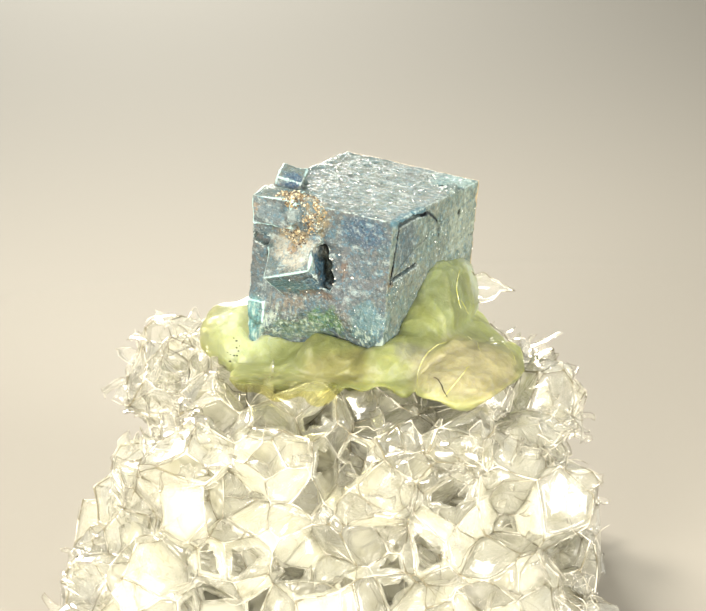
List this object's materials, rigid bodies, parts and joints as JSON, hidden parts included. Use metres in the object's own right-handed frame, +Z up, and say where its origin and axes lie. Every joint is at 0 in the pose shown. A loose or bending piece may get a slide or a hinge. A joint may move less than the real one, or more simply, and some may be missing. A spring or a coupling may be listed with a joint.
{
  "type": "boleite crystal",
  "caption": "Cube-shaped blue mineral crystal with smaller crystals grown on it, set in yellow-green mounting putty on a small torn block of clear cellular plastic foam.",
  "frame": {"origin": "middle of the foam block's flat underside, which is the middle of the whole part's footprint", "axes": "+Z up, +X to the right along the foam block's longer side, -Y towards the front, where the small crystal perched on the main one faces"},
  "size_m": [0.0168, 0.0134, 0.0133],
  "materials": {
    "boleite": "granular, faintly sparkling crystal faces in grey blue to teal, with cream and orange-brown stains",
    "putty": "smooth translucent yellow-green putty with a soft sheen",
    "clear_foam": "clear glossy polyethylene cell walls, torn at the surface, milky where many overlap"
  },
  "bodies": {
    "root": {"crystal": "boleite", "mounting_putty": "putty", "foam_block": "clear_foam"}
  },
  "joints": []
}
